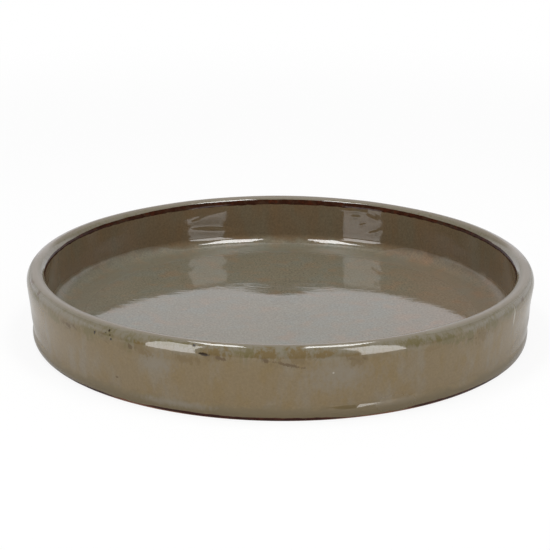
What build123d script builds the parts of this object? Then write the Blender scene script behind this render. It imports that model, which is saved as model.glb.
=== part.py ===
from build123d import *
import os

# Round plant saucer of fired red clay with a glossy glaze.
# It is one casting of clay, with the glass coats that were put on it as separate solids.
# Origin: centre of the foot, on the surface that the saucer stands on. +Z is up. Millimetres.

# Overall size, measured over the glaze
saucer_diameter = 300.0
saucer_height = 42.0
wall_thickness = 11.0
floor_thickness = 8.2

# Outer wall: it leans out from a slight waist above the foot to an upright shoulder under the rim
shoulder_drop = 6.0
waist_height = 8.2
waist_inset = 2.8
waist_round = 6.0

# Foot: a soft roll that turns under to a flat ring round a shallow recess
roll_height = 4.2
roll_proud = 0.45
foot_inset = 1.3
foot_ring_width = 14.0
recess_depth = 2.0
recess_slope = 1.6
recess_round = 1.2

# Rim: rounded tightly outside and broadly inside, as shares of the wall's thickness
rim_outer_round_share = 0.4
rim_inner_round_share = 0.56

# Inside: the wall narrows a little towards the floor and meets it in a cove
inner_wall_draft = 1.8
cove_round = 5.0

# Glass coats
coat_thickness = 0.7
rim_dip_depth = 10.0
lip_line_top_drop = 1.5
lip_line_width = 3.0
lip_line_thickness = 0.5
foot_line_height = 1.7
foot_line_width = 1.3
foot_line_thickness = 0.5

# How far the regions that pick out each coat run past it
overrun = 5.0

# The clay, without its coats
outer_radius = saucer_diameter / 2 - coat_thickness
inner_rim_radius = saucer_diameter / 2 - wall_thickness + coat_thickness
inner_floor_radius = inner_rim_radius - inner_wall_draft
rim_height = saucer_height - coat_thickness
floor_height = recess_depth + floor_thickness - coat_thickness
shoulder_height = saucer_height - shoulder_drop
waist_radius = outer_radius - waist_inset
roll_radius = waist_radius + roll_proud
foot_radius = roll_radius - foot_inset
recess_radius = foot_radius - foot_ring_width
rim_outer_round = wall_thickness * rim_outer_round_share - coat_thickness
rim_inner_round = wall_thickness * rim_inner_round_share - coat_thickness

# Places that part one coat from the next
mid_wall_radius = (outer_radius + inner_rim_radius) / 2
mid_floor_height = (recess_depth + floor_height) / 2
outside_radius = saucer_diameter / 2 + overrun
above_height = saucer_height + overrun
rim_dip_height = saucer_height - rim_dip_depth
lip_line_high = saucer_height - lip_line_top_drop
lip_line_low = lip_line_high - lip_line_width
foot_line_high = foot_line_height + foot_line_width


def corner(sketch, x, y):
    return sketch.vertices().sort_by_distance((x, y))[0]


# Clay body: floor, wall, rim and foot in one turned section
with BuildPart() as clay_body:
    with BuildSketch(Plane.XZ) as body_section:
        with BuildLine():
            recess_roof = Line((0, recess_depth), (recess_radius - recess_slope, recess_depth))
            recess_side = Line(recess_roof @ 1, (recess_radius, 0))
            foot_face = Line(recess_side @ 1, (foot_radius, 0))
            roll = ThreePointArc(foot_face @ 1, (roll_radius, roll_height), (waist_radius, waist_height))
            outer_wall = Line(roll @ 1, (outer_radius, shoulder_height))
            shoulder = Line(outer_wall @ 1, (outer_radius, rim_height))
            rim_top = Line(shoulder @ 1, (inner_rim_radius, rim_height))
            inner_wall = Line(rim_top @ 1, (inner_floor_radius, floor_height))
            floor_top = Line(inner_wall @ 1, (0, floor_height))
            Line(floor_top @ 1, recess_roof @ 0)
        make_face()
        fillet(corner(body_section, outer_radius, rim_height), rim_outer_round)
        fillet(corner(body_section, inner_rim_radius, rim_height), rim_inner_round)
        fillet(corner(body_section, inner_floor_radius, floor_height), cove_round + coat_thickness)
        fillet(corner(body_section, waist_radius, waist_height), waist_round)
        fillet(corner(body_section, recess_radius - recess_slope, recess_depth), recess_round)
        fillet(corner(body_section, recess_radius, 0), recess_round)
    revolve(axis=Axis.Z)
clay_body.part.label = "clay_body"


# A glass coat: the skin of one thickness on the clay, within the region that its outline gives
def make_coat(label, thickness, region):
    with BuildPart() as coat:
        with BuildSketch(Plane.XZ):
            add(body_section.sketch_local)
            offset(amount=thickness)
            add(body_section.sketch_local, mode=Mode.SUBTRACT)
            with BuildLine():
                Polyline(*region, close=True)
            make_face(mode=Mode.INTERSECT)
        revolve(axis=Axis.Z)
    coat.part.label = label
    return coat.part


def band(low_radius, high_radius, low_height, high_height):
    return [(low_radius, low_height), (high_radius, low_height),
            (high_radius, high_height), (low_radius, high_height)]


# Inside: floor, cove and inner wall, up to the lip line
inner_glaze = make_coat(
    "inner_glaze", coat_thickness,
    band(0, mid_wall_radius, mid_floor_height, lip_line_low))

# Lip line: the glass is thin where the rim's inner edge draws it off
lip_line = make_coat(
    "lip_line", lip_line_thickness,
    band(0, mid_wall_radius, lip_line_low, lip_line_high))

# Rim: a second dip, over the top and a little way down the outside
rim_glaze = make_coat(
    "rim_glaze", coat_thickness,
    [(0, lip_line_high), (mid_wall_radius, lip_line_high), (mid_wall_radius, rim_dip_height),
     (outside_radius, rim_dip_height), (outside_radius, above_height), (0, above_height)])

# Outside wall, from the rim's dip down to the foot line
outer_glaze = make_coat(
    "outer_glaze", coat_thickness,
    band(mid_wall_radius, outside_radius, foot_line_high, rim_dip_height))

# Foot line: the burnt edge of the outer coat, above the bare clay of the foot
foot_line = make_coat(
    "foot_line", foot_line_thickness,
    band(mid_wall_radius, outside_radius, foot_line_height, foot_line_high))

os.makedirs("parts", exist_ok=True)
for piece in [clay_body.part, inner_glaze, lip_line, rim_glaze, outer_glaze, foot_line]:
    export_step(piece, f"parts/{piece.label}.step")
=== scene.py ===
import math
from bisect import bisect_right

import bpy
from mathutils import Matrix, Vector, noise


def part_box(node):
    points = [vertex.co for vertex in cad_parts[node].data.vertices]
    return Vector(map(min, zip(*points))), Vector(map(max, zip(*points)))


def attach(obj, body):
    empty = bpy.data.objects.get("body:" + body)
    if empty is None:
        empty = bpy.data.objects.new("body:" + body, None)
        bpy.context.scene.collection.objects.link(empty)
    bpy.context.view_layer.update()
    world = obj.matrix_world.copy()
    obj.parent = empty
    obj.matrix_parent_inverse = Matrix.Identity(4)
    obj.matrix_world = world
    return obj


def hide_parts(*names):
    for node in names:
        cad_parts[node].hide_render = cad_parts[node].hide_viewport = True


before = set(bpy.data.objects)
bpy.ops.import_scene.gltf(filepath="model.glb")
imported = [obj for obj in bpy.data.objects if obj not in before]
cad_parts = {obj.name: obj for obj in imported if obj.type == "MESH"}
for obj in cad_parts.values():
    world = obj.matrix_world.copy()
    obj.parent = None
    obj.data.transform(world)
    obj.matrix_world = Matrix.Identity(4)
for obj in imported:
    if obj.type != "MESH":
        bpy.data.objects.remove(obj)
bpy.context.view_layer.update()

# Plant saucer: a turned body of red clay under a glossy olive glaze
mm = 0.001
degree = math.pi / 180
tiny = 0.001 * mm  # points nearer than this count as one

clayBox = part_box("clay_body")
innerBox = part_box("inner_glaze")
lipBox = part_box("lip_line")
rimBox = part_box("rim_glaze")
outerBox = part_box("outer_glaze")
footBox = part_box("foot_line")

coat = rimBox[1][2] - clayBox[1][2]  # thickness of the glaze
wallThickness = 11 * mm  # with its glaze on both sides

# the clay under the glaze, as it was turned
clay = {
    "radius": rimBox[1][0] - coat,
    "rimRadius": rimBox[1][0] - wallThickness + coat,  # inside edge of the rim
    "top": clayBox[1][2],
    "floor": innerBox[0][2],
    "innerDraft": 0.5 * mm,
    "cove": (4.5 * mm, 6 * mm),  # slope between the floor and the wall, across and up
    "coveUpperRound": 4.7 * mm, "coveLowerRound": 11.7 * mm,
    "lipDrop": 3.24 * mm,  # from the top down to the slope inside the rim
    "lipSlope": (1.95 * mm, 2.5 * mm),  # that slope, where the glaze is thin
    "lipLowerRound": 1.1 * mm, "lipUpperRound": 3 * mm,
    "crown": (3.9 * mm, 0.47 * mm),  # corner of the crown, in from the wall and over the top
    "crownRound": 3.3 * mm,
    "crownMargin": 0.5 * mm,  # the inner side of the rim ends this far before that corner
    "sideDrop": 3 * mm,  # from the top down to the corner of crown and wall
    "sideRound": 7.3 * mm,
    "shoulderHeight": 30 * mm, "shoulderRound": 60 * mm,
    "waistHeight": 8.4 * mm, "waistInset": 2.6 * mm, "waistRound": 5 * mm,
    "rollHeight": 4.4 * mm, "rollProud": 0.5 * mm,
    "rollSteps": 16,
    "footInset": 1.6 * mm, "footRing": 14 * mm,
    "recessDepth": 2 * mm, "recessSlope": 1.6 * mm, "recessRound": 1.2 * mm,
}

# what the hand and the kiln left in it; a station is an angle from the front in degrees, and how
# many millimetres the clay or an edge is off there
making = {
    "turnSteps": 384,  # faces round the saucer
    "longFace": 2.4 * mm,  # longest face along the outline
    "pointWeld": 0.0005 * mm, "seamWeld": 0.002 * mm,
    "arcStep": 7 * degree,
    "lumpHeight": 0.78 * mm,  # low lump near the middle of the floor
    "lumpSize": (22 * mm, 60 * mm, 17 * mm),  # across, to the front and to the back
    "lumpPlace": (0.5 * mm, 18.5 * mm),
    "rimLevel": [  # how far the rim stands off its level
        (-180, 0.42), (-160, 0.22), (-143, -0.08), (-120, 0), (-60, -0.1), (0, -0.4), (60, -0.1),
        (120, 0), (143, -0.08), (160, 0.22),
    ],
    "oval": 0.0045,  # the rim is wider from left to right by this share
    "rollSwell": [  # how far the foot roll stands out or in
        (-180, 0), (-90, 0), (-62, 0.45), (-35, -0.05), (9, 0), (14, 0.4), (18.5, 0.2), (23, 0),
        (60, -0.1),
    ],
    "hollow": [  # how far the outside wall is drawn in under the rim
        (-180, -0.1), (-135, -0.4), (-90, -0.75), (-55, -0.3), (-30, 0), (30, 0), (55, -0.6), (90, -1.3),
        (135, -0.6),
    ],
    "hollowHeight": 27.5 * mm, "hollowReach": 15.5 * mm,
    "ringDepth": 0.008 * mm,  # rings left by the fingers on the inside wall
    "ringPitch": 8.5 * mm,
    "wobbleSize": 70 * mm, "wobbleDepth": 0.2 * mm,
    "rippleSize": 16 * mm, "rippleDepth": 0.05 * mm,
    "firmBelow": 9 * mm,  # under this height the foot gets flatter
    "lipThinning": 0.05 * mm,  # the lip line is thinner by this in its middle
    "edgeLeast": 0.1,  # thickness of the foot line's lower edge, as a share of the coat
    "shadeAngle": 40 * degree,
}


# Camera, at the photograph's viewing angle

camera = {
    "distance": 930 * mm,
    "elevation": 19.835 * degree,
    "pitch": 17.957 * degree,
    "yaw": -0.2158 * degree,
    "roll": 0.232 * degree,
    "lens": 100.34,
    "sensor": 36.0,
}


def makeCamera():
    bpy.ops.object.camera_add()
    made = bpy.context.object
    made.name = "studioCamera"
    place = Vector((0, -math.cos(camera["elevation"]), math.sin(camera["elevation"])))
    made.location = place * camera["distance"]
    turn = Matrix.Rotation(-camera["yaw"], 4, "Z")
    tilt = Matrix.Rotation(math.pi / 2 - camera["pitch"], 4, "X")
    roll = Matrix.Rotation(camera["roll"], 4, "Z")
    made.rotation_euler = (turn @ tilt @ roll).to_euler()
    made.data.lens = camera["lens"]
    made.data.sensor_width = camera["sensor"]
    bpy.context.scene.camera = made


makeCamera()
print("camera placed")


# Tools for drawing and turning a section

def deselectAll():
    if bpy.context.object and bpy.context.object.mode != "OBJECT":
        bpy.ops.object.mode_set(mode="OBJECT")
    bpy.ops.object.select_all(action="DESELECT")


def roundedOutline(corners):
    # a corner is (radius, height, round); the round becomes an arc that touches both sides
    points = [Vector(corners[0][:2])]
    for before, corner, after in zip(corners, corners[1:], corners[2:]):
        here = Vector(corner[:2])
        back = (Vector(before[:2]) - here).normalized()
        ahead = (Vector(after[:2]) - here).normalized()
        half = back.angle(ahead) / 2
        centre = here + (back + ahead).normalized() * corner[2] / math.sin(half)
        reach = corner[2] / math.tan(half)
        first = here + back * reach - centre
        last = here + ahead * reach - centre
        turn = math.atan2(first.x * last.y - first.y * last.x, first.dot(last))
        steps = max(4, round(abs(turn) / making["arcStep"]))
        for step in range(steps + 1):
            points.append(centre + Matrix.Rotation(turn * step / steps, 2) @ first)
    points.append(Vector(corners[-1][:2]))
    return points


def arcThrough(start, middle, end, steps):
    # circle through three points, from start to end
    across = (end - start).length / 2
    along = (end - start).normalized()
    side = Vector((-along.y, along.x))
    rise = (middle - start).dot(side)
    run = (middle - start).dot(along) - across
    offset = (run * run + rise * rise - across * across) / (2 * rise)
    centre = start + along * across + side * offset
    first = start - centre
    last = end - centre
    turn = math.atan2(first.x * last.y - first.y * last.x, first.dot(last))
    return [centre + Matrix.Rotation(turn * step / steps, 2) @ first for step in range(steps + 1)]


def evenly(points):
    # more points along the straight runs, so that no face is long
    spaced = [points[0]]
    for start, end in zip(points, points[1:]):
        pieces = max(1, math.ceil((end - start).length / making["longFace"]))
        spaced += [start.lerp(end, step / pieces) for step in range(1, pieces + 1)]
    return spaced


def withNormals(points):
    # each point with the direction out of the clay
    pairs = []
    for index, point in enumerate(points):
        before = points[max(index - 1, 0)]
        after = points[min(index + 1, len(points) - 1)]
        along = (after - before).normalized()
        pairs.append((point, Vector((-along.y, along.x))))
    return pairs


def between(pairs, low, high):
    # the stretch whose glazed surface lies between two heights, cut there exactly
    kept = []
    for (start, startNormal), (end, endNormal) in zip(pairs, pairs[1:]):
        cuts = [0.0, 1.0]
        base = start.y + startNormal.y * coat
        rise = end.y + endNormal.y * coat - base
        for limit in (low, high):
            if rise and 0 < (limit - base) / rise < 1:
                cuts.append((limit - base) / rise)
        cuts.sort()
        for first, last in zip(cuts, cuts[1:]):
            if low <= base + rise * (first + last) / 2 <= high:
                for share in (first, last):
                    point = start.lerp(end, share)
                    if not kept or (kept[-1][0] - point).length > tiny:
                        kept.append((point, startNormal.lerp(endNormal, share).normalized()))
    return kept


def turnedPiece(name, points, closed):
    # draws the section point by point and turns it about the axis
    deselectAll()
    bpy.ops.mesh.primitive_plane_add(size=mm, location=(0, 0, 0))
    piece = bpy.context.object
    piece.name = name
    piece.data.name = name
    bpy.ops.object.mode_set(mode="EDIT")
    bpy.ops.mesh.select_all(action="SELECT")
    bpy.ops.mesh.merge(type="CENTER")
    bpy.ops.transform.translate(value=(points[0].x, 0, points[0].y))
    path = points + [points[0]] if closed else points
    for here, there in zip(path, path[1:]):
        step = (there.x - here.x, 0, there.y - here.y)
        bpy.ops.mesh.extrude_region_move(TRANSFORM_OT_translate={"value": step})
    bpy.ops.mesh.select_all(action="SELECT")
    bpy.ops.mesh.remove_doubles(threshold=making["pointWeld"])
    bpy.ops.object.mode_set(mode="OBJECT")
    lathe = piece.modifiers.new("lathe", "SCREW")
    lathe.angle = 2 * math.pi
    lathe.steps = lathe.render_steps = making["turnSteps"]
    lathe.use_merge_vertices = True
    lathe.merge_threshold = making["seamWeld"]
    bpy.ops.object.modifier_apply(modifier=lathe.name)
    bpy.ops.object.mode_set(mode="EDIT")
    bpy.ops.mesh.select_all(action="SELECT")
    bpy.ops.mesh.normals_make_consistent(inside=False)
    bpy.ops.object.mode_set(mode="OBJECT")
    return piece


# The outline of the clay, from the floor's middle over the rim to the foot

waistRadius = clay["radius"] - clay["waistInset"]
rollRadius = waistRadius + clay["rollProud"]
footRadius = rollRadius - clay["footInset"]
crownIn, crownOver = clay["crown"]
rimMiddle = clay["radius"] - crownIn - clay["crownMargin"]
wallMiddle = (clay["rimRadius"] + clay["radius"]) / 2


def clayOutlines():
    wallFoot = clay["rimRadius"] - clay["innerDraft"]
    coveAcross, coveUp = clay["cove"]
    lipAcross, lipUp = clay["lipSlope"]
    lipFoot = clay["top"] - clay["lipDrop"]
    roll = arcThrough(
        Vector((waistRadius, clay["waistHeight"])),
        Vector((rollRadius, clay["rollHeight"])),
        Vector((footRadius, 0)), clay["rollSteps"])
    joined = clay["rollSteps"] // 4  # the wall runs into the roll a little over its widest place
    upper = roundedOutline([
        (0, clay["floor"], 0),
        (wallFoot - coveAcross, clay["floor"], clay["coveLowerRound"]),
        (wallFoot, clay["floor"] + coveUp, clay["coveUpperRound"]),
        (clay["rimRadius"], lipFoot, clay["lipLowerRound"]),
        (clay["rimRadius"] + lipAcross, lipFoot + lipUp, clay["lipUpperRound"]),
        (clay["radius"] - crownIn, clay["top"] + crownOver, clay["crownRound"]),
        (clay["radius"], clay["top"] - clay["sideDrop"], clay["sideRound"]),
        (clay["radius"], clay["shoulderHeight"], clay["shoulderRound"]),
        (waistRadius, clay["waistHeight"], clay["waistRound"]),
        tuple(roll[joined]) + (0,),
    ])
    pairs = withNormals(evenly(upper + roll[joined + 1:]))
    top = max(range(len(pairs)), key=lambda index: pairs[index][0].y)
    return pairs[:top + 1], pairs[top:]


insideWall, outsideWall = clayOutlines()


def coatSection(pairs, thickness):
    # glaze surface along the clay, and back along the clay itself
    surface = [point + normal * thickness(point) for point, normal in pairs]
    return surface + [point for point, normal in reversed(pairs)]


# What the hand left in the shape

def easeStep(value):
    share = min(max(value, 0), 1)
    return share * share * (3 - 2 * share)


def wander(x, y, turns, seed):
    # smooth noise round the saucer
    angle = math.atan2(y, x)
    return noise.noise(Vector((math.cos(angle) * turns, math.sin(angle) * turns, seed)))


def stationDrift(stations, angle):
    # eases from one station to the next
    turns = [(place * degree, drift * mm) for place, drift in stations]
    before = (turns[-1][0] - 2 * math.pi, turns[-1][1])
    after = (turns[0][0] + 2 * math.pi, turns[0][1])
    turns = [before] + turns + [after]
    for (start, first), (end, last) in zip(turns, turns[1:]):
        if start <= angle <= end:
            return first + (last - first) * easeStep((angle - start) / (end - start))
    return 0.0


# the finer wanders of an edge: how many more turns, step of the seed, share of the nibble
nibbles = [(9, 5, 1.0), (22, 9, 0.7)]


def driftOf(edge, x, y):
    # how far an edge runs above or below its level here
    rise, turns, nibble, seed = edge["wander"]
    drift = rise * wander(x, y, turns, seed)
    for more, step, share in nibbles:
        drift += nibble * wander(x, y, turns * more, seed + step) * share
    return drift + stationDrift(edge["stations"], math.atan2(x, -y))


def trackAlong(wall, lift):
    # the outline at some distance over the clay, and the way gone at each point
    points = [point + normal * lift for point, normal in wall]
    ways = [0.0]
    for first, second in zip(points, points[1:]):
        ways.append(ways[-1] + (second - first).length)
    return points, ways


def nearestWay(track, place):
    # how far a place lies from the track, and the way gone where it is nearest
    points, ways = track
    best = (1.0, 0.0)
    for first, second, way in zip(points, points[1:], ways):
        along = second - first
        share = min(max((place - first).dot(along) / max(along.length_squared, tiny * tiny), 0), 1)
        best = min(best, ((first + along * share - place).length, way + along.length * share))
    return best


def placeAt(track, way):
    points, ways = track
    way = min(max(way, 0), ways[-1])
    index = min(max(bisect_right(ways, way) - 1, 0), len(points) - 2)
    share = (way - ways[index]) / max(ways[index + 1] - ways[index], tiny)
    return points[index].lerp(points[index + 1], share)


def driftEdge(piece, edge, wall):
    # lets a glaze edge run up and down along its wall without changing the wall's shape
    inner = wall is insideWall
    up, down = edge["reach"]
    tracks = [trackAlong(wall, 0), trackAlong(wall, coat)]
    found = {}  # one search serves all points of equal radius and height
    for vertex in piece.data.vertices:
        x, y, height = vertex.co
        radius = math.hypot(x, y)
        above = height - edge["height"]
        nearness = 1 - abs(above) / (up if above > 0 else down)
        if (radius < rimMiddle) != inner or nearness <= 0:
            continue
        place = Vector((radius, height))
        key = (round(radius / mm, 3), round(height / mm, 3))
        if key not in found:
            found[key] = min((nearestWay(track, place), index) for index, track in enumerate(tracks))
        (away, way), index = found[key]
        shift = driftOf(edge, x, y) * easeStep(nearness) * (1 if inner else -1)
        moved = place + placeAt(tracks[index], way + shift) - placeAt(tracks[index], way)
        vertex.co = (x * moved.x / radius, y * moved.x / radius, moved.y)


def cloudTexture(name, size):
    texture = bpy.data.textures.new(name, "CLOUDS")
    texture.cloud_type = "COLOR"
    texture.noise_scale = size
    texture.noise_depth = 1
    return texture


wobbleTexture = cloudTexture("wobble", making["wobbleSize"])
rippleTexture = cloudTexture("ripple", making["rippleSize"])


def raiseLump(piece):
    across, back = making["lumpPlace"]
    wide, near, far = making["lumpSize"]
    for vertex in piece.data.vertices:
        depth = vertex.co.y - back
        away = math.hypot((vertex.co.x - across) / wide, depth / (far if depth > 0 else near))
        vertex.co.z += making["lumpHeight"] * math.exp(-away * away)


def warped(place):
    # the rim's uneven level and oval shape, the hollow under it, and the foot roll's swells
    x, y, height = place
    angle = math.atan2(x, -y)
    radius = math.hypot(x, y)
    reach = max(radius, mm)
    high = easeStep(height / clay["top"])
    outside = easeStep((radius - footRadius + clay["footRing"]) / clay["footRing"])
    outerHalf = easeStep((radius - wallMiddle) / (clay["radius"] - wallMiddle))
    inRoll = 1 - min(abs(height - clay["rollHeight"]) / clay["rollHeight"], 1)
    inHollow = 1 - min(abs(height - making["hollowHeight"]) / making["hollowReach"], 1)
    swell = stationDrift(making["rollSwell"], angle) * easeStep(inRoll) * outside
    drawn = stationDrift(making["hollow"], angle) * easeStep(inHollow) * outerHalf
    grow = 1 + swell / reach + drawn / reach
    lift = stationDrift(making["rimLevel"], angle) * high * outside
    return x * grow * (1 + making["oval"] * high * outside), y * grow, height + lift


def handMade(piece):
    # a slow wobble and a finer ripple, both fading out towards the flat foot
    firm = piece.vertex_groups.new(name="aboveFoot")
    for vertex in piece.data.vertices:
        firm.add([vertex.index], easeStep(vertex.co.z / making["firmBelow"]), "REPLACE")
        vertex.co = warped(vertex.co)
    deselectAll()
    piece.select_set(True)
    bpy.context.view_layer.objects.active = piece
    pushes = [(wobbleTexture, making["wobbleDepth"]), (rippleTexture, making["rippleDepth"])]
    for texture, depth in pushes:
        push = piece.modifiers.new(texture.name, "DISPLACE")
        push.texture = texture
        push.texture_coords = "LOCAL"
        push.direction = "RGB_TO_XYZ"
        push.strength = depth
        push.mid_level = 0.5
        push.vertex_group = firm.name
        bpy.ops.object.modifier_apply(modifier=push.name)
    bpy.ops.object.shade_smooth_by_angle(angle=making["shadeAngle"])
    piece.vertex_groups.clear()


def settle(piece, node, finish):
    piece.data.materials.clear()
    piece.data.materials.append(finish)
    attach(piece, "root")
    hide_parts(node)
    print(piece.name, "made:", len(piece.data.polygons), "faces")


# Tools for materials

cloudSpan = (0.3, 0.7)  # nearly all of a cloud's values lie between these


def fill(tree, node, values):
    # gives a node its inputs, as numbers, colours or sockets to link
    for key, value in values.items():
        socket = node.inputs[key]
        if isinstance(value, bpy.types.NodeSocket):
            tree.links.new(value, socket)
        else:
            socket.default_value = value


def put(tree, kind, values={}, **settings):
    node = tree.nodes.new("ShaderNode" + kind)
    for name, value in settings.items():
        setattr(node, name, value)
    fill(tree, node, values)
    return node


def maths(tree, operation, first, second=0.0, clamp=False):
    node = put(tree, "Math", {0: first, 1: second}, operation=operation, use_clamp=clamp)
    return node.outputs[0]


def times(tree, first, second):
    return maths(tree, "MULTIPLY", first, second)


def plus(tree, first, second):
    return maths(tree, "ADD", first, second)


def minus(tree, first, second):
    return maths(tree, "SUBTRACT", first, second)


def vectors(tree, operation, first, second):
    node = put(tree, "VectorMath", {0: first, 1: second}, operation=operation)
    return node.outputs[0]


def lengthOf(tree, vector):
    return put(tree, "VectorMath", {0: vector}, operation="LENGTH").outputs["Value"]


def partOf(tree, vector, axis):
    return put(tree, "SeparateXYZ", {0: vector}).outputs[axis]


def ramp(tree, value, low, high, start=0.0, end=1.0):
    # a value from low to high becomes start to end, with soft ends
    node = put(tree, "MapRange",
               {"Value": value, "From Min": low, "From Max": high, "To Min": start, "To Max": end},
               interpolation_type="SMOOTHSTEP")
    return node.outputs[0]


def blend(tree, factor, first, second, mode="MIX"):
    values = {0: factor, 6: first, 7: second}
    return put(tree, "Mix", values, data_type="RGBA", blend_type=mode).outputs[2]


def cloud(tree, place, size, detail=2.0, roughness=0.5, warp=0.0):
    return put(tree, "TexNoise", {
        "Vector": place, "Scale": 1 / size, "Detail": detail, "Roughness": roughness,
        "Distortion": warp}).outputs["Fac"]


def stretched(tree, place, scale, shift=(0, 0, 0)):
    node = put(tree, "Mapping", {"Vector": place, "Scale": scale, "Location": shift})
    return node.outputs[0]


def bump(tree, height, distance, normal=None, strength=1.0, invert=False):
    values = {"Strength": strength, "Distance": distance, "Height": height}
    if normal is not None:
        values["Normal"] = normal
    return put(tree, "Bump", values, invert=invert).outputs[0]


def colour(red, green, blue):
    return (red, green, blue, 1.0)


def newGroup(name, inputs, outputs):
    # inputs and outputs are names with their kinds
    tree = bpy.data.node_groups.new(name, "ShaderNodeTree")
    for label, kind in inputs.items():
        tree.interface.new_socket(label, in_out="INPUT", socket_type="NodeSocket" + kind)
    for label, kind in outputs.items():
        tree.interface.new_socket(label, in_out="OUTPUT", socket_type="NodeSocket" + kind)
    return tree, tree.nodes.new("NodeGroupInput").outputs


def leave(tree, values):
    # what a group gives back
    fill(tree, tree.nodes.new("NodeGroupOutput"), values)


def useGroup(tree, group, values):
    return put(tree, "Group", values, node_tree=group).outputs


def emptyTree(owner):
    owner.use_nodes = True
    owner.node_tree.nodes.clear()
    return owner.node_tree


def newFinish(name):
    finish = bpy.data.materials.new(name)
    tree = emptyTree(finish)
    shader = tree.nodes.new("ShaderNodeBsdfPrincipled")
    put(tree, "OutputMaterial", {0: shader.outputs[0]})
    place = put(tree, "TexCoord").outputs["Object"]
    return finish, tree, shader, place


# Groups that several finishes share

# what is alike in every glaze
glaze = {
    "cloudDetail": (4.0, 0.55),  # octaves and roughness
    "coolFrom": (0.46, 0.66),  # cloud values between which the second tone takes over
    "warmFrom": (0.48, 0.70),  # the same for the third tone
    "warmSize": 0.7,  # size of its clouds, as a share of the other's
    "warmShift": (7, 3, 5),
    "speckleSize": 1.3 * mm,
    "waveSize": 7 * mm,
    "ringSize": 18 * mm, "ringStretch": (0.4, 0.4, 3.5),
    "peelSize": 1.8 * mm,
    "patchSize": 25 * mm,  # patches that are a little glossier or duller
    "patchRoughness": (0.03, 0.07),
    "pitEdge": (0.09, 0.05),  # a pit's edge and bottom, as shares of the spacing
    "pitDepth": 0.15 * mm, "pitRoughness": 0.6,
    "pit": colour(0.03, 0.02, 0.015),
}

# the uneven border where two coats of glaze lap over each other
dip = {
    "level": 34.5 * mm,
    "depth": 3.2 * mm,
    "fade": 0.16,  # how fast the patches thin out away from the level
    "cloudSize": 11 * mm,
    "cloudDetail": (3.0, 0.55, 0.3),
    "flatter": 1.6,
    "patchFrom": (0.46, 0.58),
    "crescentDrop": 1.1 * mm,
    "rareSize": 24 * mm,
    "rareFrom": (0.48, 0.62),
}

# the torn outline of a single mark
tear = {
    "size": 2.2 * mm,
    "detail": (5.0, 0.65),
    "stretch": (1, 1, 0.6),
    "depth": 6 * mm,  # how deep a mark reaches into the wall
}


def turnedPlaceGroup():
    # how far a place lies from the saucer's axis, and how high
    tree, entry = newGroup("turnedPlace", {"Place": "Vector"}, {"Radius": "Float", "Height": "Float"})
    flat = vectors(tree, "MULTIPLY", entry["Place"], (1, 1, 0))
    leave(tree, {"Radius": lengthOf(tree, flat), "Height": partOf(tree, entry["Place"], "Z")})
    return tree


def glazeCloudsGroup():
    # three tones that run into each other, and a fine speckle
    tree, entry = newGroup("glazeClouds", {
        "Place": "Vector", "Main": "Color", "Cool": "Color", "Warm": "Color", "Cloud Size": "Float",
        "Cloud Height": "Float", "Speckle": "Float"}, {"Color": "Color"})
    flatter = maths(tree, "DIVIDE", 1.0, entry["Cloud Height"])
    tall = put(tree, "CombineXYZ", {0: 1.0, 1: 1.0, 2: flatter}).outputs[0]
    place = vectors(tree, "MULTIPLY", entry["Place"], tall)
    place = vectors(tree, "DIVIDE", place, entry["Cloud Size"])
    warmPlace = stretched(tree, place, (1, 1, 1), glaze["warmShift"])
    cool = cloud(tree, place, 1.0, *glaze["cloudDetail"])
    warm = cloud(tree, warmPlace, glaze["warmSize"], *glaze["cloudDetail"])
    tone = blend(tree, ramp(tree, cool, *glaze["coolFrom"]), entry["Main"], entry["Cool"])
    tone = blend(tree, ramp(tree, warm, *glaze["warmFrom"]), tone, entry["Warm"])
    fine = cloud(tree, entry["Place"], glaze["speckleSize"], 3.0, 0.75)
    uneven = times(tree, minus(tree, fine, 0.5), entry["Speckle"])
    lightness = plus(tree, uneven, 1.0)
    spread = put(tree, "CombineColor", {0: lightness, 1: lightness, 2: lightness}).outputs[0]
    leave(tree, {"Color": blend(tree, 1.0, tone, spread, "MULTIPLY")})
    return tree


def glazeSkinGroup():
    # slow waves, flatter ones round the wall, and the orange peel of a melted surface
    tree, entry = newGroup("glazeSkin", {
        "Place": "Vector", "Wave Depth": "Float", "Ring Depth": "Float", "Peel Depth": "Float"},
        {"Normal": "Vector", "Roughness": "Float"})
    place = entry["Place"]
    ringPlace = stretched(tree, place, glaze["ringStretch"])
    normal = bump(tree, cloud(tree, place, glaze["waveSize"]), entry["Wave Depth"])
    normal = bump(tree, cloud(tree, ringPlace, glaze["ringSize"]), entry["Ring Depth"], normal)
    normal = bump(tree, cloud(tree, place, glaze["peelSize"], 1.0), entry["Peel Depth"], normal)
    patch = cloud(tree, place, glaze["patchSize"])
    leave(tree, {"Normal": normal, "Roughness": ramp(tree, patch, *cloudSpan, *glaze["patchRoughness"])})
    return tree


def pinholesGroup():
    # small pits, where gas broke through the glaze
    tree, entry = newGroup(
        "pinholes", {"Place": "Vector", "Spacing": "Float", "Share": "Float"}, {"Mask": "Float"})
    place = vectors(tree, "DIVIDE", entry["Place"], entry["Spacing"])
    cells = put(tree, "TexVoronoi", {"Vector": place, "Scale": 1.0, "Randomness": 1.0})
    dot = ramp(tree, cells.outputs["Distance"], *glaze["pitEdge"])
    pick = put(tree, "SeparateColor", {0: cells.outputs["Color"]}).outputs[0]
    chosen = maths(tree, "LESS_THAN", pick, entry["Share"])
    leave(tree, {"Mask": times(tree, dot, chosen)})
    return tree


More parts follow.
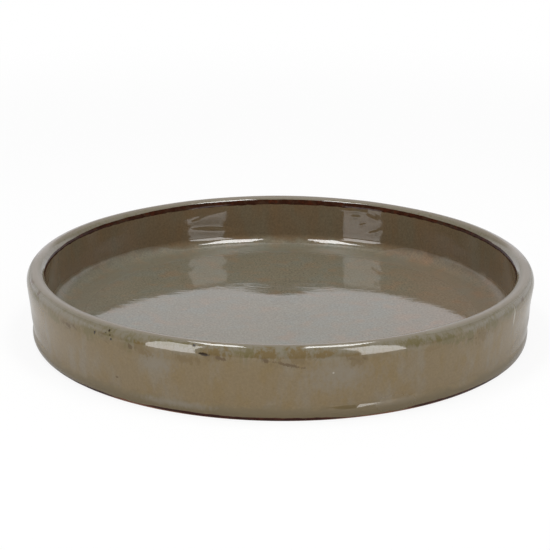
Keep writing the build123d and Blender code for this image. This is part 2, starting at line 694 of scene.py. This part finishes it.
def dipBorderGroup():
    # patches along the border of two coats, each with a dark lower edge
    tree, entry = newGroup("dipBorder", {"Place": "Vector"}, {"Patch": "Float", "Crescent": "Float"})
    where = useGroup(tree, turnedPlace, {"Place": entry["Place"]})
    away = maths(tree, "DIVIDE", minus(tree, where["Height"], dip["level"]), dip["depth"])
    fade = times(tree, times(tree, away, away), dip["fade"])

    def patches(rise):
        place = stretched(tree, entry["Place"], (1, 1, dip["flatter"]), (0, 0, rise * dip["flatter"]))
        field = cloud(tree, place, dip["cloudSize"], *dip["cloudDetail"])
        return ramp(tree, minus(tree, field, fade), *dip["patchFrom"])

    here = patches(0)
    edge = maths(tree, "SUBTRACT", patches(dip["crescentDrop"]), here, clamp=True)
    rare = ramp(tree, cloud(tree, entry["Place"], dip["rareSize"]), *dip["rareFrom"])
    leave(tree, {"Patch": here, "Crescent": times(tree, edge, rare)})
    return tree


def spotGroup():
    # a small ragged mark at a chosen place on the wall
    tree, entry = newGroup("spot", {
        "Place": "Vector", "Centre": "Vector", "Turn": "Vector", "Size": "Vector", "Ragged": "Float",
        "Soft": "Float"}, {"Mask": "Float", "Step": "Float"})
    local = put(tree, "Mapping", {
        "Vector": entry["Place"], "Location": entry["Centre"], "Rotation": entry["Turn"],
        "Scale": entry["Size"]}, vector_type="TEXTURE").outputs[0]
    away = lengthOf(tree, local)
    tearPlace = stretched(tree, entry["Place"], tear["stretch"])
    streaks = cloud(tree, tearPlace, tear["size"], *tear["detail"])
    torn = times(tree, minus(tree, streaks, 0.5), entry["Ragged"])
    ragged = plus(tree, away, torn)
    mask = ramp(tree, ragged, plus(tree, 1.0, entry["Soft"]), minus(tree, 1.0, entry["Soft"]))
    # the step leans the wall outwards in the mark's middle and back beside it
    up = times(tree, partOf(tree, local, "Z"), partOf(tree, entry["Size"], "Z"))
    fall = maths(tree, "EXPONENT", times(tree, times(tree, away, away), -1.0))
    leave(tree, {"Mask": mask, "Step": times(tree, times(tree, up, -1.0), fall)})
    return tree


turnedPlace = turnedPlaceGroup()
glazeClouds = glazeCloudsGroup()
glazeSkin = glazeSkinGroup()
pinholes = pinholesGroup()
dipBorder = dipBorderGroup()
spot = spotGroup()


def spots(tree, place, marks, radius, ragged=0.5, soft=0.2, output="Mask", join="MAXIMUM"):
    # one mask for several marks; a mark is its angle from the front, height, half width, half height
    # and tilt, in degrees and millimetres
    mask = 0.0
    for angle, height, wide, tall, tilt in marks:
        turn = angle * degree
        values = {
            "Place": place, "Centre": (math.sin(turn) * radius, -math.cos(turn) * radius, height * mm),
            "Turn": (0, tilt * degree, turn), "Size": (wide * mm, tear["depth"], tall * mm),
            "Ragged": ragged, "Soft": soft}
        mask = maths(tree, join, mask, useGroup(tree, spot, values)[output])
    return mask


def clouded(tree, place, look):
    # a look's clouds are their size, their height against their width, and the speckle
    main, cool, warm = [colour(*tone) for tone in look["tones"]]
    size, tall, speckle = look["clouds"]
    return useGroup(tree, glazeClouds, {
        "Place": place, "Main": main, "Cool": cool, "Warm": warm, "Cloud Size": size,
        "Cloud Height": tall, "Speckle": speckle})["Color"]


def glazed(tree, shader, place, tone, look, rings=0.0):
    # the glassy skin that every glaze has, with its pits
    wave, peel = look["skin"]  # depths
    skin = useGroup(tree, glazeSkin, {
        "Place": place, "Wave Depth": wave, "Ring Depth": rings, "Peel Depth": peel})
    spacing, share = look["pits"]
    pits = useGroup(tree, pinholes, {"Place": place, "Spacing": spacing, "Share": share})["Mask"]
    dull = maths(tree, "MAXIMUM", skin["Roughness"], times(tree, pits, glaze["pitRoughness"]))
    hollow = bump(tree, pits, glaze["pitDepth"], skin["Normal"], invert=True)
    tone = blend(tree, pits, tone, glaze["pit"])
    fill(tree, shader, {"Base Color": tone, "Roughness": dull, "Normal": hollow, "IOR": look["bend"]})


def roughen(tree, shader, height, distance):
    # one more layer of relief over the skin
    normal = shader.inputs["Normal"]
    tree.links.new(bump(tree, height, distance, normal.links[0].from_socket), normal)


def makeDull(tree, shader, least):
    roughness = shader.inputs["Roughness"]
    tree.links.new(maths(tree, "MAXIMUM", roughness.links[0].from_socket, least), roughness)


# Finishes

glassBend = 1.55  # index of refraction of the glaze
thinBend = 1.2  # the same where it is thin and burnt

innerLook = {
    "floor": {
        "tones": ((0.151, 0.134, 0.094), (0.145, 0.139, 0.105), (0.173, 0.134, 0.088)),
        "clouds": (19 * mm, 1.0, 1.6),
    },
    "wall": {
        "tones": ((0.120, 0.083, 0.046), (0.117, 0.090, 0.054), (0.127, 0.082, 0.042)),
        "clouds": (20 * mm, 2.5, 0.8),
    },
    "wallFrom": (10.8 * mm, 15.5 * mm),  # heights between which the wall's tones take over
    "uneven": (15 * mm, 1.5 * mm),  # size and height of the waves in that border
    "sides": (60 * mm, 95 * mm),  # how far left or right the sides begin
    "climb": 2.6 * mm,  # the border lies higher by this at the sides
    "warmSide": colour(1.13, 0.995, 0.95),
    "warmFrom": (40 * mm, 110 * mm),
    "warmUneven": 8.0,  # how much of the waves goes into the warm side's edge
    "skin": (0.04 * mm, 0.009 * mm),
    "pits": (16 * mm, 0.01),  # spacing, and the share of places that have one
    "bend": glassBend,
    "ringFrom": (15 * mm, 20 * mm),
    "ringDepth": 0.06 * mm,
    "rippleSize": 9 * mm,  # fine ripples on the floor
    "rippleDetail": (2.0, 0.6),
    "rippleStretch": (1, 2.6, 1),
    "rippleEnd": (10.9 * mm, 12.5 * mm),
    "rippleDepth": 0.035 * mm,
    "dentDepth": 0.115,  # lean of the wall's dents
    "dullTop": (11.9 * mm, 17 * mm),  # its foot is dull up to here: middle, sides
    "dullEdge": 0.3 * mm,
    "dullFrom": (110 * mm, 119 * mm),
    "dullness": 0.28,
}

# places where the inside wall leans out a little, as marks
wallDents = [
    (-160.3, 22.9, 20, 3.2, -6), (-158.8, 35.2, 17, 5.8, 9), (-155.5, 29.8, 4, 1.6, 12),
    (158.5, 32.9, 3.2, 1.8, 0), (153.4, 33.4, 3.6, 2, -20), (152.9, 23.4, 4.2, 1.7, 20),
    (159.5, 37.2, 8, 2.2, 0), (156.5, 27.5, 2.6, 1.2, 20),
]


def innerFinish():
    look = innerLook
    finish, tree, shader, place = newFinish("innerGlazeFinish")
    where = useGroup(tree, turnedPlace, {"Place": place})
    across = partOf(tree, place, "X")
    beside = ramp(tree, maths(tree, "ABSOLUTE", across), *look["sides"])
    size, rise = look["uneven"]
    uneven = ramp(tree, cloud(tree, place, size), *cloudSpan, -rise, rise)
    # the floor's tones are warmer at the right, and give way to the wall's
    floor = clouded(tree, place, look["floor"])
    toRight = plus(tree, across, times(tree, uneven, look["warmUneven"]))
    warmer = ramp(tree, toRight, *look["warmFrom"])
    floor = blend(tree, warmer, floor, look["warmSide"], "MULTIPLY")
    height = plus(tree, where["Height"], uneven)
    climb = times(tree, beside, look["climb"])
    share = ramp(tree, minus(tree, height, climb), *look["wallFrom"])
    tone = blend(tree, share, floor, clouded(tree, place, look["wall"]))
    rings = ramp(tree, where["Height"], *look["ringFrom"], 0.0, look["ringDepth"])
    glazed(tree, shader, place, tone, look, rings)
    # ripples on the floor, dents in the wall
    ripplePlace = stretched(tree, place, look["rippleStretch"])
    ripples = cloud(tree, ripplePlace, look["rippleSize"], *look["rippleDetail"])
    depth = ramp(tree, where["Height"], *look["rippleEnd"], look["rippleDepth"], 0.0)
    roughen(tree, shader, ripples, depth)
    dents = spots(tree, place, wallDents, clay["rimRadius"], output="Step", join="ADD")
    roughen(tree, shader, dents, look["dentDepth"])
    # the foot of the wall is duller, and more of it at the sides
    over = minus(tree, where["Height"], ramp(tree, beside, 0.0, 1.0, *look["dullTop"]))
    dull = ramp(tree, over, look["dullEdge"], -look["dullEdge"])
    most = ramp(tree, where["Radius"], *look["dullFrom"], 0.0, look["dullness"])
    makeDull(tree, shader, times(tree, dull, most))
    return finish


# outside wall and rim, with the heights between which each tone takes over
wallLook = {
    "tones": ((0.165, 0.119, 0.058), (0.170, 0.135, 0.085), (0.163, 0.113, 0.047)),
    "clouds": (13 * mm, 2.2, 0.6),
    "uneven": (12 * mm, 1.2 * mm),
    "low": colour(0.124, 0.093, 0.046),
    "lowFrom": (9.5 * mm, 5 * mm),
    "rim": colour(0.168, 0.149, 0.111),
    "rimFrom": (33 * mm, 40 * mm),
    "crown": colour(0.220, 0.192, 0.156),
    "crownFrom": (40.9 * mm, 42 * mm),
    "runSize": 1.8 * mm,  # runs of glaze down from the rim
    "runDetail": (3.0, 0.6),
    "runStretch": (1, 1, 0.15),
    "runPick": (0.48, 0.68),
    "runFrom": (28 * mm, 36 * mm),
    "runShare": 0.45,
    "patchShare": 0.35,
    "crescentShare": 0.7,
    "skin": (0.03 * mm, 0.006 * mm),
    "ringDepth": 0.02 * mm,
    "pits": (11 * mm, 0.045),
    "bend": glassBend,
    "dullSides": (50 * mm, 90 * mm),  # the crown gets duller to the left and right
    "dullFrom": (39.8 * mm, 41.2 * mm),
    "dullBack": (30 * mm, -10 * mm),  # and towards the front
    "dullness": 0.38,
    "thinness": (1.0, 0.3, 0.4),  # the thin place on the roll: ragged, soft, dullness
}

# each kind of mark on the wall: its colour, how ragged, how soft, and its share
markLook = {
    # cool: the colour of bluish patches in the glaze, used also for a painted sheen on the foot roll
    "cool": (colour(0.176, 0.152, 0.115), 3.0, 0.9, 0.7),
    "olive": (colour(0.110, 0.090, 0.034), 6.0, 0.6, 0.68),
    "ochre": (colour(0.132, 0.090, 0.036), 5.0, 0.5, 0.85),
    "brown": (colour(0.084, 0.050, 0.018), 5.0, 0.5, 0.8),
    "dark": (colour(0.030, 0.020, 0.011), 2.0, 0.25, 1.0),
    # pale: the colour of a painted highlight streak on the right of the wall, and of a small pale dot
    "pale": (colour(0.330, 0.300, 0.245), 1.0, 0.5, 0.8),
}

# the marks of each kind
rimMarks = {
    # cool: the two marks high on the wall are bluish glaze patches; the long low one at 6.2 mm on the
    # roll is a painted sheen
    "cool": [(11.5, 27, 13, 8, 0), (-25, 28.5, 7, 5, 0), (-22, 6.2, 17, 1.6, 0)],
    "olive": [
        (-31.2, 35.4, 3.4, 3.8, 10), (-42.6, 35.2, 6.5, 3, 8), (-55, 34.5, 8, 2.2, 10),
        (36, 36.8, 8, 2.2, 0), (49, 36, 7, 2.6, 0), (27, 38.8, 8, 1.8, 0), (-22, 39.4, 9, 1.2, 0),
        (-6.5, 38.4, 5, 1.8, 0), (58, 37.5, 7, 2, 0), (42, 34, 4, 3, 20), (39, 34.4, 5, 1.4, -10),
        (-37.4, 37.4, 4, 2.2, 0), (-66, 37.6, 6, 2.6, 0),
    ],
    "ochre": [
        (-12.8, 37.1, 6, 3.4, 0), (-2.6, 37.4, 5, 3.2, 0), (3.6, 36.8, 5.6, 4.2, 15),
        (-28.6, 34, 5, 3, 25), (15.2, 33.8, 4.4, 4, -20), (-18.5, 32.5, 6, 2.2, 0), (8.5, 38, 4, 1.8, 0),
        (46, 33, 5, 4, 0),
    ],
    "brown": [
        (65.2, 38.9, 2, 1.1, -15), (-65.6, 39.9, 2.2, 1.2, 20), (-73.5, 40.8, 4, 0.8, 0),
        (-35.6, 13.9, 0.9, 0.6, 0), (-2.8, 35, 2.2, 1, 10), (-11.6, 34.9, 2.2, 1, 15),
        (-31.2, 34.2, 2.2, 1.3, 35), (1.7, 32.6, 7.5, 0.7, 12), (-50, 34.6, 5, 1, 10),
    ],
    "dark": [
        (-15, 36.3, 3, 0.7, 5), (-37.1, 39.4, 0.6, 0.6, 0), (-36.6, 37.4, 0.4, 0.4, 0),
        (-37.8, 38, 0.4, 0.3, 0), (-36.3, 35.4, 0.6, 0.7, 0), (-40.9, 36.4, 0.6, 0.8, 0),
    ],
    # pale: the thin upright mark at 59.6 degrees is a painted highlight streak; the one at 10.5 degrees
    # is a small pale dot
    "pale": [(59.6, 33.4, 0.9, 4.6, 3), (10.5, 27.5, 0.5, 0.5, 0)],
    "thin": [(24.4, 6, 12, 5, 0)],
}


def wallFinish(name):
    look = wallLook
    finish, tree, shader, place = newFinish(name)
    where = useGroup(tree, turnedPlace, {"Place": place})
    size, rise = look["uneven"]
    uneven = ramp(tree, cloud(tree, place, size), *cloudSpan, -rise, rise)
    height = plus(tree, where["Height"], uneven)
    tone = clouded(tree, place, look)
    tone = blend(tree, ramp(tree, height, *look["lowFrom"]), tone, look["low"])
    tone = blend(tree, ramp(tree, height, *look["rimFrom"]), tone, look["rim"])
    runPlace = stretched(tree, place, look["runStretch"])
    runs = ramp(tree, cloud(tree, runPlace, look["runSize"], *look["runDetail"]), *look["runPick"])
    runs = times(tree, runs, ramp(tree, height, *look["runFrom"], 0.0, look["runShare"]))
    tone = blend(tree, runs, tone, markLook["olive"][0])
    border = useGroup(tree, dipBorder, {"Place": place})
    patches = times(tree, border["Patch"], look["patchShare"])
    crescents = times(tree, border["Crescent"], look["crescentShare"])
    # the pale layer paints a highlight streak on the right of the wall
    layers = [
        ("cool", None), ("ochre", patches), ("olive", None), ("ochre", None), ("brown", None),
        ("brown", crescents), ("dark", None), ("pale", None),
    ]
    # the cool layer also paints a sheen along the foot roll
    for kind, share in layers:
        tint, ragged, soft, most = markLook[kind]
        if share is None:
            share = times(tree, spots(tree, place, rimMarks[kind], clay["radius"], ragged, soft), most)
        tone = blend(tree, share, tone, tint)
    tone = blend(tree, ramp(tree, where["Height"], *look["crownFrom"]), tone, look["crown"])
    glazed(tree, shader, place, tone, look, look["ringDepth"])
    # duller on the crown at both sides, and where the glaze ran thin over the roll
    across = maths(tree, "ABSOLUTE", partOf(tree, place, "X"))
    beside = ramp(tree, across, *look["dullSides"], 0.0, look["dullness"])
    nearer = ramp(tree, partOf(tree, place, "Y"), *look["dullBack"])
    onCrown = times(tree, ramp(tree, where["Height"], *look["dullFrom"]), nearer)
    ragged, soft, dullness = look["thinness"]
    thin = times(tree, spots(tree, place, rimMarks["thin"], rollRadius, ragged, soft), dullness)
    makeDull(tree, shader, maths(tree, "MAXIMUM", times(tree, beside, onCrown), thin))
    return finish


lipLook = {
    "tones": ((0.024, 0.008, 0.004), (0.035, 0.018, 0.010), (0.045, 0.012, 0.005)),
    "clouds": (5 * mm, 1.0, 0.6),
    "skin": (0.015 * mm, 0.012 * mm),
    "pits": (9 * mm, 0.05),
    "bend": thinBend,
}


def lipFinish():
    finish, tree, shader, place = newFinish("lipLineFinish")
    glazed(tree, shader, place, clouded(tree, place, lipLook), lipLook)
    return finish


footLook = {
    "tones": ((0.035, 0.010, 0.006), (0.030, 0.012, 0.008), (0.062, 0.018, 0.010)),
    "clouds": (8 * mm, 1.0, 0.5),
    "skin": (0.03 * mm, 0.01 * mm),
    "pits": (9 * mm, 0.05),
    "bend": thinBend,
    "bright": colour(0.130, 0.040, 0.016),
    "brightMarks": [(-32.5, 1.5, 9, 4, 0), (20.5, 1.5, 16, 4, 0)],
    "brightEdge": (3.0, 0.6),  # ragged, soft
}


def footFinish():
    finish, tree, shader, place = newFinish("footLineFinish")
    bright = spots(tree, place, footLook["brightMarks"], rollRadius, *footLook["brightEdge"])
    tone = blend(tree, bright, clouded(tree, place, footLook), footLook["bright"])
    glazed(tree, shader, place, tone, footLook)
    return finish


clayLook = {
    "tones": ((0.34, 0.15, 0.075), (0.28, 0.14, 0.08), (0.40, 0.17, 0.08)),
    "clouds": (20 * mm, 1.0, 0.6),
    "scorch": colour(0.10, 0.05, 0.03),
    "scorchFrom": (0.4 * mm, 2.2 * mm),
    "scorchShare": 0.6,
    "gritSize": 0.6 * mm,
    "gritDetail": (3.0, 0.7),
    "gritDepth": 0.08 * mm, "gritStrength": 0.6,
    "roughness": 0.85,
}


def clayFinish():
    finish, tree, shader, place = newFinish("bareClayFinish")
    where = useGroup(tree, turnedPlace, {"Place": place})
    scorched = ramp(tree, where["Height"], *clayLook["scorchFrom"])
    scorched = times(tree, scorched, clayLook["scorchShare"])
    tone = blend(tree, scorched, clouded(tree, place, clayLook), clayLook["scorch"])
    grit = cloud(tree, place, clayLook["gritSize"], *clayLook["gritDetail"])
    relief = bump(tree, grit, clayLook["gritDepth"], strength=clayLook["gritStrength"])
    fill(tree, shader, {"Base Color": tone, "Normal": relief, "Roughness": clayLook["roughness"]})
    return finish


# Edges that drift along the wall, each shared by the coats on both sides of it: its height, how far
# up and down the drift reaches, and its wander as rise, turns, nibble and seed

lipTopEdge = {
    "height": lipBox[1][2], "reach": (1.3 * mm, 2.9 * mm), "wander": (0.3 * mm, 2, 0.2 * mm, 3),
    "stations": [
        (-180, 0.1), (-150, -0.1), (-128, -1.1), (-105, -1.7), (-60, -1.6), (0, 0), (60, -1.6),
        (105, -1.7), (128, -1.1), (150, -0.1),
    ],
}
lipLowEdge = {
    "height": lipBox[0][2], "reach": (2.9 * mm, 5 * mm), "wander": (0.2 * mm, 3, 0.45 * mm, 7),
    "stations": [(-180, 0.2), (-90, 0), (0, 0), (90, 0)],
}
dipEdge = {
    "height": outerBox[1][2], "reach": (6 * mm, 6 * mm), "wander": (1.5 * mm, 3, 0.3 * mm, 11),
    "stations": [(-180, 0), (0, 0)],
}
footTopEdge = {
    "height": footBox[1][2], "reach": (7 * mm, 2.2 * mm), "wander": (0.2 * mm, 3, 0.35 * mm, 17),
    "stations": [
        (-180, -0.9), (-75, -0.9), (-50, -1.3), (-42, -0.8), (-36, -1.2), (-31, -1.4), (-26, -0.5),
        (-16, -0.5), (0, -0.5), (9, -0.8), (14, -1.6), (25, -1.7), (30, -0.7), (48, -0.6), (58, -1.2),
    ],
}
footEdge = {
    "wander": (0.1 * mm, 3, 0.12 * mm, 23),
    "stations": [
        (-180, -1.2), (-75, -1.2), (-50, -1.5), (-42, -1.5), (-36, -0.9), (-30, -0.8), (-24, -1),
        (-16, -1.3), (0, -1.6), (9, -1.4), (15, -1), (25, -0.9), (32, -1.2), (48, -1.3),
    ],
}


# Clay body

def makeClayBody():
    recessRadius = footRadius - clay["footRing"]
    under = roundedOutline([
        (footRadius, 0, 0),
        (recessRadius, 0, clay["recessRound"]),
        (recessRadius - clay["recessSlope"], clay["recessDepth"], clay["recessRound"]),
        (0, clay["recessDepth"], 0),
    ])
    points = [point for point, normal in insideWall + outsideWall[1:]] + evenly(under)[1:]
    piece = turnedPiece("clayBody", points, closed=False)
    handMade(piece)
    settle(piece, "clay_body", clayFinish())


# Glaze coats

def makeInnerGlaze():
    def thickness(point):
        over = point.y - clay["floor"]
        rings = making["ringDepth"] * math.sin(over * 2 * math.pi / making["ringPitch"])
        return coat + rings * easeStep(over / making["ringPitch"] - 1)

    pairs = between(insideWall, 0, lipBox[0][2])
    piece = turnedPiece("innerGlaze", coatSection(pairs, thickness), closed=False)
    raiseLump(piece)
    driftEdge(piece, lipLowEdge, insideWall)
    handMade(piece)
    settle(piece, "inner_glaze", innerFinish())


def makeLipLine():
    low, high = lipBox[0][2], lipBox[1][2]

    def thickness(point):
        # thinnest in the middle, where the glaze drew back from the edge
        share = (point.y - low) / (high - coat - low)
        return coat - making["lipThinning"] * math.sin(math.pi * min(max(share, 0), 1))

    pairs = between(insideWall, low, high)
    piece = turnedPiece("lipLine", coatSection(pairs, thickness), closed=True)
    driftEdge(piece, lipTopEdge, insideWall)
    driftEdge(piece, lipLowEdge, insideWall)
    handMade(piece)
    settle(piece, "lip_line", lipFinish())


def makeRimGlaze():
    pairs = between(insideWall, lipBox[1][2], 1) + between(outsideWall, rimBox[0][2], 1)[1:]
    piece = turnedPiece("rimGlaze", coatSection(pairs, lambda point: coat), closed=True)
    driftEdge(piece, lipTopEdge, insideWall)
    driftEdge(piece, dipEdge, outsideWall)
    handMade(piece)
    settle(piece, "rim_glaze", wallFinish("rimGlazeFinish"))


def makeOuterGlaze():
    pairs = between(outsideWall, footBox[1][2], rimBox[0][2])
    piece = turnedPiece("outerGlaze", coatSection(pairs, lambda point: coat), closed=True)
    driftEdge(piece, dipEdge, outsideWall)
    driftEdge(piece, footTopEdge, outsideWall)
    handMade(piece)
    settle(piece, "outer_glaze", wallFinish("outerGlazeFinish"))


def driftFoot(piece):
    # both edges of the thin line drift, each its own way
    low, high = footBox[0][2], footBox[1][2]
    track = trackAlong(outsideWall, 0)
    wayLow = nearestWay(track, Vector((rollRadius, low)))[1]
    wayHigh = nearestWay(track, Vector((rollRadius, high)))[1]
    for vertex in piece.data.vertices:
        x, y, height = vertex.co
        place = Vector((math.hypot(x, y), height))
        share = min(max((height - low) / (high - low), 0), 1)
        way = wayLow + (wayHigh - wayLow) * share
        shift = driftOf(footEdge, x, y) * (1 - share) + driftOf(footTopEdge, x, y) * share
        moved = place + placeAt(track, way - shift) - placeAt(track, way)
        vertex.co = (x * moved.x / place.x, y * moved.x / place.x, max(moved.y, 0))


def makeFootLine():
    low, high = footBox[0][2], footBox[1][2]

    def thickness(point):
        # a rolled edge: full above, closing to the clay below
        share = (point.y - low) / (high - low)
        return coat * math.sqrt(max(1 - (1 - share) ** 2, making["edgeLeast"] ** 2))

    pairs = between(outsideWall, low, high)
    piece = turnedPiece("footLine", coatSection(pairs, thickness), closed=True)
    driftFoot(piece)
    handMade(piece)
    settle(piece, "foot_line", footFinish())


makeClayBody()
makeInnerGlaze()
makeLipLine()
makeRimGlaze()
makeOuterGlaze()
makeFootLine()


# Studio: pale floor, white surroundings, soft lamps

studio = {
    "floorSize": 9.0,
    "floorColour": colour(0.8, 0.8, 0.8),
    "floorWhite": 0.88,  # share of plain white in what the camera sees of the floor
    "floorMirrored": 0.35,  # share of plain grey in what the glaze mirrors of it, and that grey
    "floorGrey": 0.45,
    "whiteBeyond": (0.45, 1.1),  # the floor turns plain white between these distances
    "ambient": 0.5,
    "ceiling": 0.1,  # how bright the glaze mirrors what is overhead
    "ceilingFrom": (0.38, 0.48),
    "front": 0.12,  # the same for the dark room behind the camera
    "frontFrom": (0.1, -0.35),
    "side": 0.86,  # the same for what lies far to the left and right
    "sideFrom": (0.55, 0.95),
    "mirroredSky": colour(0.912, 0.918, 0.985),
    "lampStep": 0.01,  # gap between the two halves of a lamp
    "frontLamps": [  # direction, lean, distance, width, height, radiance, share of it that lights
        (-47.5 * degree, 6 * degree, 1.5, 0.56, 1.9, 5.4, 0.56),
        (41.5 * degree, 0.0, 1.5, 0.50, 1.9, 5.4, 0.61),
    ],
    "topLamps": [  # place, width, length, radiance, share that lights
        ((-0.31, -0.12, 1.2), 0.24, 0.48, 13.0, 0.98),
        ((0.29, -0.12, 1.2), 0.32, 0.48, 13.0, 0.74),
    ],
}


def raysOf(tree):
    # which rays ask: those that see, those in which the glaze mirrors, those that light
    rays = put(tree, "LightPath").outputs
    seen = maths(tree, "MAXIMUM", rays["Is Camera Ray"], rays["Is Transmission Ray"])
    return seen, rays["Is Glossy Ray"], rays["Is Diffuse Ray"]


def makeFloor():
    deselectAll()
    bpy.ops.mesh.primitive_plane_add(size=studio["floorSize"], location=(0, 0, 0))
    floor = bpy.context.object
    floor.name = "studioFloor"
    finish = bpy.data.materials.new("paleFloor")
    tree = emptyTree(finish)
    place = put(tree, "TexCoord").outputs["Object"]
    far = ramp(tree, lengthOf(tree, place), *studio["whiteBeyond"], studio["floorWhite"], 1.0)
    seen, glossy = raysOf(tree)[:2]
    share = times(tree, seen, far)
    mirrored = times(tree, glossy, studio["floorMirrored"])
    matt = put(tree, "BsdfDiffuse", {"Color": studio["floorColour"]})
    grey = ramp(tree, glossy, 0.0, 1.0, 1.0, studio["floorGrey"])
    white = put(tree, "Emission", {"Strength": grey})
    mixed = put(tree, "MixShader",
                {0: maths(tree, "MAXIMUM", share, mirrored), 1: matt.outputs[0], 2: white.outputs[0]})
    put(tree, "OutputMaterial", {0: mixed.outputs[0]})
    floor.data.materials.append(finish)


def makeWorld():
    world = bpy.data.worlds.new("whiteStudio")
    bpy.context.scene.world = world
    tree = emptyTree(world)
    seen, glossy, diffuse = raysOf(tree)
    direction = put(tree, "TexCoord").outputs["Generated"]
    towards = put(tree, "SeparateXYZ", {0: direction}).outputs
    around = ramp(tree, towards["Y"], *studio["frontFrom"], 1.0, studio["front"])
    over = ramp(tree, towards["Z"], *studio["ceilingFrom"], 1.0, studio["ceiling"])
    beside = ramp(tree, maths(tree, "ABSOLUTE", towards["X"]), *studio["sideFrom"], 1.0, studio["side"])
    walls = times(tree, maths(tree, "MINIMUM", around, over), beside)
    mirrored = times(tree, glossy, walls)
    lit = times(tree, diffuse, studio["ambient"])
    strength = maths(tree, "MAXIMUM", maths(tree, "MAXIMUM", seen, mirrored), lit)
    tint = blend(tree, glossy, colour(1, 1, 1), studio["mirroredSky"])
    sky = put(tree, "Background", {"Color": tint, "Strength": strength})
    put(tree, "OutputWorld", {0: sky.outputs[0]})


def makeLamp(name, place, target, lean, width, length, radiance, lighting):
    # two lamps in one place: one lights and is mirrored, one is only mirrored
    away = (Vector(place) - Vector(target)).normalized() * studio["lampStep"]
    for part, share, step in (("Light", lighting, 0), ("Mirrored", 1 - lighting, 1)):
        bpy.ops.object.light_add(type="AREA", location=Vector(place) + away * step)
        lamp = bpy.context.object
        lamp.name = name + part
        lamp.data.shape = "RECTANGLE"
        lamp.data.size = width
        lamp.data.size_y = length
        lamp.data.energy = radiance * share * math.pi * width * length
        aim = (Vector(target) - Vector(place)).to_track_quat("-Z", "Y").to_matrix()
        lamp.rotation_euler = (aim @ Matrix.Rotation(lean, 3, "Z")).to_euler()
        lamp.visible_camera = False
        lamp.visible_diffuse = part == "Light"


def makeLamps():
    for index, (turn, lean, distance, width, height, *power) in enumerate(studio["frontLamps"]):
        place = (math.sin(turn) * distance, -math.cos(turn) * distance, height / 2)
        makeLamp(f"frontLamp{index}", place, (0, 0, height / 2), lean, width, height, *power)
    for index, (place, width, length, *power) in enumerate(studio["topLamps"]):
        makeLamp(f"topLamp{index}", place, (place[0], place[1], 0), 0.0, width, length, *power)


makeFloor()
makeWorld()
makeLamps()
bpy.context.scene.view_settings.view_transform = "Standard"
print("studio ready")
